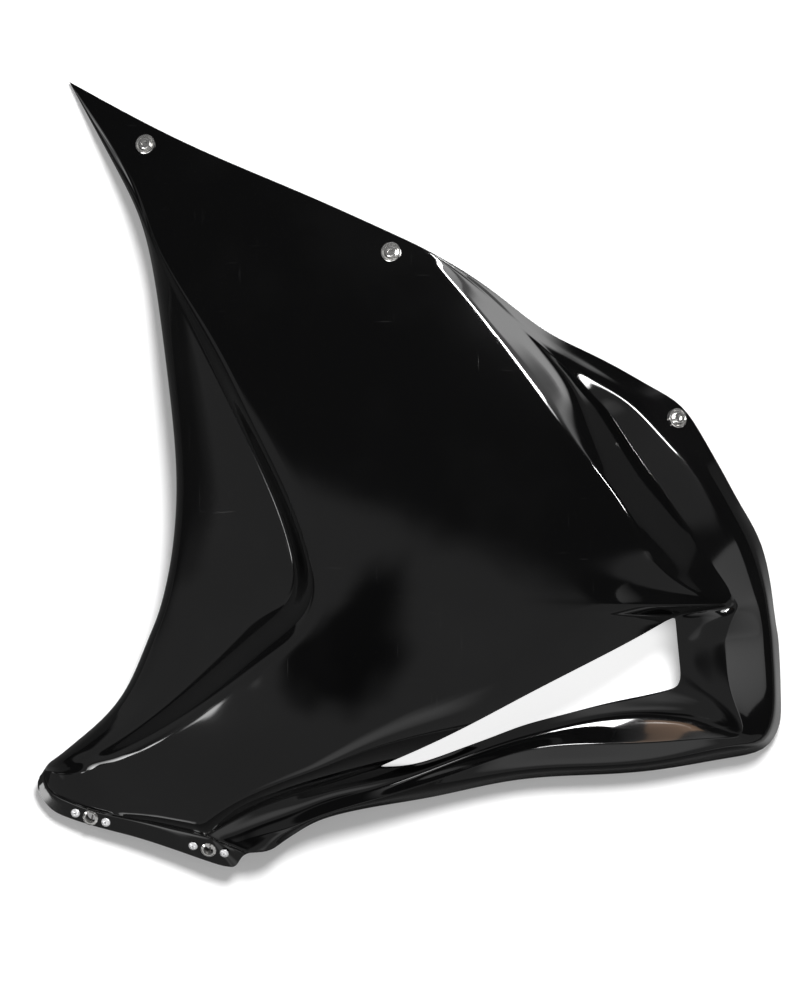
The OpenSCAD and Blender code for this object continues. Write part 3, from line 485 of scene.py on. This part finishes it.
class ShellSurface:
    def __init__(self, form):
        self.form = form
        wide, high = form["sheetPart"]
        self.sheet = np.array((form["length"] / wide, form["height"] / high))
        self.scale = np.array((*self.sheet, form["depth"]))
        self.spineUnit = (beak - tip) / np.linalg.norm(beak - tip)
        self.spine = Spline(spineSteps, spineHeights)
        self.runs = [splineThrough(run) for run in bodyRuns]
        stations = [row[0] for row in recessSections]
        self.front, self.frontHeight, self.foot, self.ridge, self.stepDepth = [
            Spline(stations, [row[i] for row in recessSections]) for i in range(1, 6)
        ]
        beakEnd, ventEnd = self.edgePoint(2, 1), self.edgePoint(3, 1)
        self.ventSide = splineThrough([beakEnd] + ventSide + [ventCorner])
        self.ventLow = splineThrough([ventCorner] + ventLow + [ventEnd])
        loopStations = [row[0] for row in loopSections]
        self.rails = [Spline(loopStations, [row[i] for row in loopSections]) for i in range(1, 5)]
        self.flange = Spline([row[0] for row in flangeEdge], [row[1] for row in flangeEdge])

    def crown(self, place):
        fromTip = np.array(place[:2]) - tip
        u = float(fromTip @ self.spineUnit)
        v = fromTip[0] * self.spineUnit[1] - fromTip[1] * self.spineUnit[0]
        return self.spine.at(u) - self.form["sideFall"] * v ** 2 - self.form["sideCurl"] * v ** 4

    def edgePoint(self, run, t):
        edge = self.runs[run].at(t)
        return np.array((edge[0], edge[1], self.crown(edge) - edge[2]))

    def planGap(self, a, b):
        return float(np.linalg.norm((b - a) * self.sheet))

    def bodySection(self, s, run, t):
        form, many = self.form, self.form["density"]
        edge = self.runs[run].at(t)
        front, foot, ridge = self.front.at(s), self.foot.at(s), self.ridge.at(s)
        corner = ease((s - form["cornerStart"]) / (1 - form["cornerStart"]))
        low = self.crown(ridge) - edge[2] * corner - self.stepDepth.at(s)
        frontTop = self.frontHeight.at(s)
        across = self.planGap(front, foot)
        taper = min(1, across / (2 * form["lipWidth"]))
        lipFar = min(form["lipWidth"], across / 2)
        lip = mix(front, foot, lipFar / across) if across else front
        toFoot = self.planGap(lip, foot)
        toRidge = toFoot + self.planGap(foot, ridge)
        rise = low - frontTop
        slope = rise * form["recessBulge"] / toRidge if toRidge else 0

        def bulge(q):
            return frontTop + rise * (1 - (1 - q) ** form["recessBulge"])

        points = []
        rollStart = np.interp(s, *zip(*rollStarts))
        lipSteps, recessSteps, flankSteps, bodySteps = [count * many for count in form["bodyPoints"]]
        full = math.radians(form["lipTurn"])
        for i in range(lipSteps):
            turn = full * (1 - i / lipSteps)
            out = math.sin(turn) / math.sin(full)
            down = (1 - math.cos(turn)) / (1 - math.cos(full))
            drop = slope * lipFar * out + taper * down * form["lipRoll"] / form["depth"]
            points.append((*mix(lip, front, out), frontTop - drop))
        for i in range(recessSteps):
            q = i / recessSteps * toFoot / toRidge if toRidge else 0
            points.append((*mix(lip, foot, i / recessSteps), bulge(q)))
        for i in range(flankSteps):
            share = i / flankSteps
            q = (toFoot + share * (toRidge - toFoot)) / toRidge if toRidge else 0
            place = mix(foot, ridge, share)
            over = self.crown(place) - edge[2] * corner
            points.append((*place, mix(bulge(q), over, ease(share))))
        for i in range(bodySteps + 1):
            f = 1 - (1 - i / bodySteps) ** form["bodyBulge"]
            place = mix(ridge, edge[:2], f)
            near = max(0, (f - rollStart) / (1 - rollStart))
            points.append((*place, self.crown(place) - edge[2] * max(near ** 2, corner)))
        return [np.array(p) * self.scale for p in points]

    def loopEdge(self, run, t):
        if run == 0:
            return self.edgePoint(1, t)
        if run == 1:
            return self.edgePoint(2, t)
        if run == 2:
            return self.ventSide.at(t)
        if run == 3:
            return self.ventLow.at(t)
        return self.edgePoint(4, t)

    def loopSection(self, p, run, t):
        form, many = self.form, self.form["density"]
        inner = self.loopEdge(run, t) * self.scale
        knots = [inner] + [inner if p == 0 else rail.at(p) * self.scale for rail in self.rails]

        def straight(a, b):
            return [mix(a, b, (i + 1) / (many + 1)) for i in range(many)]

        def rounded(a, b, c, share=1.0):
            ends = []
            for other in (a, c):
                far = np.linalg.norm(other - b)
                reach = min(share * form["creaseReach"] / far, form["creaseMost"]) if far else 0
                ends.append(mix(b, other, reach))
            start, stop = ends
            steps = form["creasePoints"] * many
            bend = [i / steps for i in range(steps + 1)]
            return [start * (1 - t) ** 2 + b * 2 * t * (1 - t) + stop * t ** 2 for t in bend]

        first = rounded(knots[0], knots[1], knots[2], np.interp(p, *zip(*form["armShares"])))
        second = rounded(knots[1], knots[2], knots[3], form["footShare"])
        third = rounded(knots[2], knots[3], knots[4])
        return ([knots[0]] + straight(knots[0], first[0]) + first + second
                + straight(second[-1], third[0]) + third + [knots[4]])

    def bodyRows(self):
        rows = []
        for run, steps in enumerate(runSteps):
            steps *= self.form["density"]
            last = run == len(runSteps) - 1
            for i in range(steps + last):
                t = i / steps
                row = self.bodySection(mix(runEnds[run], runEnds[run + 1], t), run, t)
                if (run == 0 and i == 0) or (last and i == steps):
                    row = [self.edgePoint(run, t) * self.scale] * len(row)
                rows.append(row)
        return rows

    def loopRows(self):
        rows = []
        for run, steps in enumerate(loopSteps):
            steps *= self.form["density"]
            for i in range(steps + (run == len(loopSteps) - 1)):
                t = i / steps
                rows.append(self.loopSection(mix(loopEnds[run], loopEnds[run + 1], t), run, t))
        return rows

    def flangeRows(self, loopRows):
        form, steps = self.form, runSteps[-1] * self.form["density"]
        line = loopRows[-1][::-1]
        line += [self.edgePoint(5, i / steps) * self.scale for i in range(1, steps + 1)]
        down = form["flangePoints"]
        rows = []
        for at, far in zip(line, travelled(line)):
            free = self.flange.at(far) * self.sheet
            wide = np.linalg.norm(free - at[:2])
            full = min(1, wide / (form["joggleFade"] * form["joggleRun"]))
            near = min(form["joggleRun"] / wide, form["joggleMost"]) if wide else 0
            foot = mix(at[:2], free, near)
            stepped = np.array((*foot, at[2] - form["joggleStep"] * full))
            fall = np.linalg.norm(free - foot) * math.tan(math.radians(form["flangeTilt"]))
            outer = np.array((*free, stepped[2] - fall))
            tilted = [mix(stepped, outer, i / down) for i in range(1, down + 1)]
            rows.append([at, mix(at, stepped, 0.5), stepped] + tilted)
        rows[0] = [line[0]] * len(rows[0])
        rows[-1] = [line[-1]] * len(rows[0])
        return rows


def addGrid(rows, points, faces):
    start = len(points)
    wide = len(rows[0])
    for row in rows:
        points.extend(tuple(p) for p in row)
    for i in range(len(rows) - 1):
        for j in range(wide - 1):
            a = start + i * wide + j
            faces.append((a, a + wide, a + wide + 1, a + 1))


def keepCorners(mesh, corners):  # from being rounded off by the smoothing
    sharp = mesh.attributes.new("crease_vert", "FLOAT", "POINT")
    for corner in corners:
        nearest = min(mesh.vertices, key=lambda vertex: (vertex.co - Vector(corner)).length)
        sharp.data[nearest.index].value = 1


def buildShell(form):
    surface = ShellSurface(form)
    points, faces = [], []
    loopRows = surface.loopRows()
    for rows in (surface.bodyRows(), loopRows, surface.flangeRows(loopRows)):
        addGrid(rows, points, faces)
    onSheet = np.array((*form["seat"], surface.crown(form["seat"]))) * surface.scale
    shift = np.array(jointAt["front_quarter_turn"]["pos_m"]) - onSheet
    mesh = bpy.data.meshes.new("shellPanel")
    mesh.from_pydata([tuple(np.array(p) + shift) for p in points], [], faces)
    piece = bpy.data.objects.new("shellPanel", mesh)
    bpy.context.scene.collection.objects.link(piece)
    makeActive(piece)
    bpy.ops.object.mode_set(mode="EDIT")
    bpy.ops.mesh.select_all(action="SELECT")
    bpy.ops.mesh.remove_doubles(threshold=form["mergeDistance"])
    bpy.ops.mesh.dissolve_degenerate(threshold=form["mergeDistance"])
    bpy.ops.object.mode_set(mode="OBJECT")
    corners = (surface.edgePoint(0, 0), surface.edgePoint(5, 1))  # the tip and the fore corner
    keepCorners(mesh, [corner * surface.scale + shift for corner in corners])
    applyModifier(piece, "SUBSURF", levels=form["smoothing"], render_levels=form["smoothing"])
    piece.data.materials.append(shellOutside)
    piece.data.materials.append(shellInside)
    applyModifier(
        piece, "SOLIDIFY", thickness=form["wall"], offset=-1, use_even_offset=False,
        thickness_clamp=1.0, material_offset=1, material_offset_rim=0,
    )
    return piece


holeSizes = {"stud": 0.0100, "eyelet": 0.0100, "rivet": 0.0036, "depth": 0.007, "sides": 48}


def addCutter(place, axis, width):
    bpy.ops.mesh.primitive_cylinder_add(
        vertices=holeSizes["sides"], radius=width / 2, depth=holeSizes["depth"]
    )
    cutter = bpy.context.object
    turn = Vector((0, 0, 1)).rotation_difference(Vector(axis)).to_matrix().to_4x4()
    cutter.data.transform(Matrix.Translation(Vector(place)) @ turn)
    return cutter


def drillShell(piece):
    cutters = []
    for end in ("front", "middle", "rear"):
        joint = jointAt[end + "_quarter_turn"]
        cutters.append(addCutter(joint["pos_m"], joint["axis"], holeSizes["stud"]))
    for end in ("fore", "aft"):
        mount = mountAt[end + "_receptacle_bore"]
        cutters.append(addCutter(mount["pos_m"], mount["axis"], holeSizes["eyelet"]))
        for rivet in ("_rivet_a", "_rivet_b"):
            low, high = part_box(end + rivet)
            cutters.append(addCutter((low + high) / 2, mount["axis"], holeSizes["rivet"]))
    makeActive(cutters[0])
    for cutter in cutters:
        cutter.select_set(True)
    bpy.ops.object.join()
    drill = bpy.context.object
    applyModifier(piece, "BOOLEAN", object=drill, operation="DIFFERENCE", solver="EXACT")
    bpy.data.objects.remove(drill)


shell = buildShell(shellForm)
drillShell(shell)
makeActive(shell)
bpy.ops.object.shade_smooth_by_angle(angle=math.radians(shellForm["smoothAngle"]))
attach(shell, "panel")
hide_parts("shell")
print("shell: done,", len(shell.data.polygons), "faces")


# Floor and light
studio = {
    "floorSize": 9,
    "floorColour": grey(0.80),
    "floorGlow": 0.20,  # added where the camera sees the floor, so that it comes out white
    "ventPaintedLight": 0.62,  # painted light: more glow on the floor in the vent, which lifts the shadow that falls there
    "ventSides": ((-0.05, -0.03), (0.19, 0.225)),
    "ventEnds": ((-0.236, -0.228), (-0.13, -0.10)),
    "floorInGloss": (0.12, 0.60),  # how much of it the gloss shows: elsewhere, just to the right
    "justRight": ((0.28, 0.30), (0.34, 0.40)),
    "fill": 0.30,
    "keyPlace": (0.50, 1.55, 3.5),
    "keySize": 1.1,
    "keyPower": 185,
    "overhead": 0.022,
    "room": 0.31,  # the pale side of the room, toward the lower left
    "roomSide": (-0.55, -0.835, 0),
    "roomEdge": (0.068, 0.105),
    "roomDapple": 0.15,
    "dappleScale": 2.2,
    "window": (50, 42, 12, 24, 4.8),  # as a glow below, but cut off along a line
    "windowSide": (0.854, 0.056, -0.518),
    "windowEdge": (-0.02, 0.055),
    "drift": 0.03,  # how far the edges of the glows wander
    "driftScale": 6.0,
}
# What the gloss shows of the room: each glow's bearing from +X, its height, its inner and outer
# reach, all in degrees, and its strength
glows = [
    (238, 71, 6, 12, -0.33),
    (184, 14, 8, 19, -0.28),
    (209, 59, 1, 4, 1.2),
    (208, 46, 1, 5, 10.0),
    (199, 32, 1, 5, 14.0),
    (33, 73, 1, 6, 12.0),
    (60, 50, 12, 30, 1.4),
    (275, 35, 4, 20, 0.72),
    (236, 2, 3, 15, 2.6),
]
# Lamps that only the gloss shows: a place on the drawing sheet and the bearing and height of the
# lamp's end from there, the same for its other end, distance, width, spread, strength, colour.
# Angles are in degrees
glints = [
    ((0.425, 0.747), (98, 58), (0.502, 0.657), (92, 73), 0.30, 0.06, 60, 44.0, (1, 1, 1)),
    ((0.500, 0.660), (82, 72), (0.548, 0.596), (34, 72), 0.30, 0.06, 60, 44.0, (1, 1, 1)),
    ((0.570, 0.635), (334, 55), (0.676, 0.555), (312, 64), 0.25, 0.016, 60, 55.0, (1, 1, 1)),
    ((0.525, 0.262), (97, 52), (0.615, 0.285), (97, 52), 0.30, 0.16, 42, 30.0, (1, 1, 1)),
    ((0.650, 0.284), (97, 52), (0.690, 0.285), (97, 52), 0.30, 0.10, 40, 0.9, (1, 0.6, 0.36)),
    ((0.725, 0.445), (320, 65), (0.752, 0.270), (340, 63), 0.25, 0.10, 56, 0.5, (1, 1, 1)),
    ((0.088, 0.250), (166, 14), (0.125, 0.238), (196, 27), 0.20, 0.05, 36, 4.0, (1, 1, 1)),
]
# The same round each fastener's head: bearing and height of both ends from it, and the rest
headGlints = [
    ((95, 52), (15, 52), 0.12, 0.06, 54, 2.4, (1, 1, 1)),
    ((195, 14), (275, 14), 0.12, 0.04, 54, 2.2, (1, 1, 1)),
]


def addFloor(settings):
    bpy.ops.mesh.primitive_plane_add(size=settings["floorSize"])
    floor = bpy.context.object
    floor.name = "floor"
    material, flow = newMaterial("paleFloor")
    place = flow.add("ShaderNodeTexCoord", {}, {}, "Object")
    away, right = settings["floorInGloss"]
    across = flow.add("ShaderNodeSeparateXYZ", {}, {0: place})
    low, high = settings["justRight"]
    inGloss = away + across.ramp(*low) * (1.0 - across.ramp(*high)) * (right - away)
    share = 1.0 - flow.ray("Is Glossy Ray") * (1.0 - inGloss)
    colour = share.blend(grey(0), settings["floorColour"])
    diffuse = flow.add("ShaderNodeBsdfDiffuse", {}, {"Color": colour})
    # painted light: the floor inside the vent's box glows more, so the shadow cast into the vent comes out nearly
    # white
    paintedLightInVent = 1.0
    for axis, (low, high) in (("X", settings["ventSides"]), ("Y", settings["ventEnds"])):
        along = flow.add("ShaderNodeSeparateXYZ", {}, {0: place}, axis)
        paintedLightInVent = along.ramp(*low) * (1.0 - along.ramp(*high)) * paintedLightInVent
    glow = settings["floorGlow"] + paintedLightInVent * settings["ventPaintedLight"]
    seen = flow.ray("Is Camera Ray") * glow
    white = flow.add("ShaderNodeEmission", {}, {"Color": grey(1), "Strength": seen})
    finishSurface(flow, flow.add("ShaderNodeAddShader", {}, {0: diffuse, 1: white}))
    floor.data.materials.append(material)


def pointing(azimuth, height):
    a, e = math.radians(azimuth), math.radians(height)
    return Vector((math.cos(a) * math.cos(e), math.sin(a) * math.cos(e), math.sin(e)))


def facing(flow, bearing, toward):
    return flow.add(
        "ShaderNodeVectorMath", {"operation": "DOT_PRODUCT"}, {0: bearing, 1: toward}, "Value"
    )


def patch(flow, bearing, azimuth, height, inner, outer):  # 1 within inner degrees, 0 past outer
    near = facing(flow, bearing, pointing(azimuth, height))
    return near.ramp(math.cos(math.radians(outer)), math.cos(math.radians(inner)))


def addWorld(settings):
    world = bpy.data.worlds.new("studio")
    bpy.context.scene.world = world
    world.use_nodes = True
    world.node_tree.nodes.clear()
    flow = Flow(world.node_tree)
    bearing = flow.add("ShaderNodeTexCoord", {}, {}, "Generated")
    drift = flow.add(
        "ShaderNodeTexNoise",
        {},
        {"Vector": bearing, "Scale": settings["driftScale"], "Detail": 1.0},
        "Color",
    )
    bearing = flow.add(
        "ShaderNodeVectorMath",
        {"operation": "MULTIPLY_ADD"},
        {0: drift, 1: [settings["drift"]] * 3, 2: bearing},
    )
    bearing = flow.add(
        "ShaderNodeVectorMath",
        {"operation": "SUBTRACT"},
        {0: bearing, 1: [settings["drift"] / 2] * 3},
    )
    room = facing(flow, bearing, settings["roomSide"]).ramp(*settings["roomEdge"]) * settings["room"]
    dapple = bearing.noise(settings["dappleScale"]) * settings["roomDapple"]
    light = room * (1 - 0.5 * settings["roomDapple"] + dapple)
    for *where, strength in glows:
        light = light + patch(flow, bearing, *where) * strength
    *where, strength = settings["window"]
    cut = facing(flow, bearing, settings["windowSide"]).ramp(*settings["windowEdge"])
    light = light + patch(flow, bearing, *where) * cut * strength
    light = (light + settings["overhead"]).highest(0.0)
    glossy = flow.ray("Is Glossy Ray") * flow.untilMatt()
    level = settings["fill"] + glossy * (light - settings["fill"])
    level = level + flow.ray("Is Camera Ray") * (1.0 - level)
    shine = flow.add("ShaderNodeBackground", {}, {"Color": grey(1), "Strength": level})
    flow.add("ShaderNodeOutputWorld", {}, {"Surface": shine})


def addKeyLight(settings):
    data = bpy.data.lights.new("keyLight", "AREA")
    data.shape = "DISK"
    data.size = settings["keySize"]
    data.energy = settings["keyPower"]
    lamp = bpy.data.objects.new("keyLight", data)
    lamp.location = settings["keyPlace"]
    lamp.rotation_euler = (-lamp.location).to_track_quat("-Z", "Y").to_euler()
    lamp.visible_glossy = False
    bpy.context.scene.collection.objects.link(lamp)


def sheetSpot(place):  # the point of the shell's outside over a place on the drawing sheet
    axes = zip(place, cameraSettings["sheetMiddle"], cameraSettings["middle"])
    x, y = [(at - half) * cameraSettings["frameHeight"] + middle for at, half, middle in axes]
    return shell.ray_cast((x, y, 1), (0, 0, -1))[1]


def addGlint(start, first, stop, last, distance, width, spread, strength, colour):
    ends = [start + pointing(*first) * distance, stop + pointing(*last) * distance]
    along = (ends[1] - ends[0]).normalized()
    back = (ends[0] + ends[1] - start - stop).normalized()
    back = (back - along * back.dot(along)).normalized()
    data = bpy.data.lights.new("glint", "AREA")
    data.shape = "RECTANGLE"
    data.size = (ends[1] - ends[0]).length
    data.size_y = width
    data.spread = math.radians(spread)
    data.energy = strength * 4 * data.size * data.size_y * math.sin(data.spread / 2) ** 2
    data.use_nodes = True
    data.node_tree.nodes.clear()
    flow = Flow(data.node_tree)
    # the gloss doesn't throw this light on to the floor
    shine = flow.add("ShaderNodeEmission", {}, {"Color": (*colour, 1), "Strength": flow.untilMatt()})
    flow.add("ShaderNodeOutputLight", {}, {"Surface": shine})
    lamp = bpy.data.objects.new("glint", data)
    across = back.cross(along)
    turn = Matrix((along, across, back)).transposed().to_4x4()
    lamp.matrix_world = Matrix.Translation((ends[0] + ends[1]) / 2) @ turn
    lamp.visible_camera = False
    lamp.visible_diffuse = False
    bpy.context.scene.collection.objects.link(lamp)


addFloor(studio)
addWorld(studio)
addKeyLight(studio)
for start, first, stop, last, *look in glints:
    addGlint(sheetSpot(start), first, sheetSpot(stop), last, *look)
for end in ("front", "middle", "rear"):
    head = Vector(jointAt[end + "_quarter_turn"]["pos_m"])
    for first, last, *look in headGlints:
        addGlint(head, first, head, last, *look)
bpy.context.scene.view_settings.view_transform = "Standard"
print("studio: done")
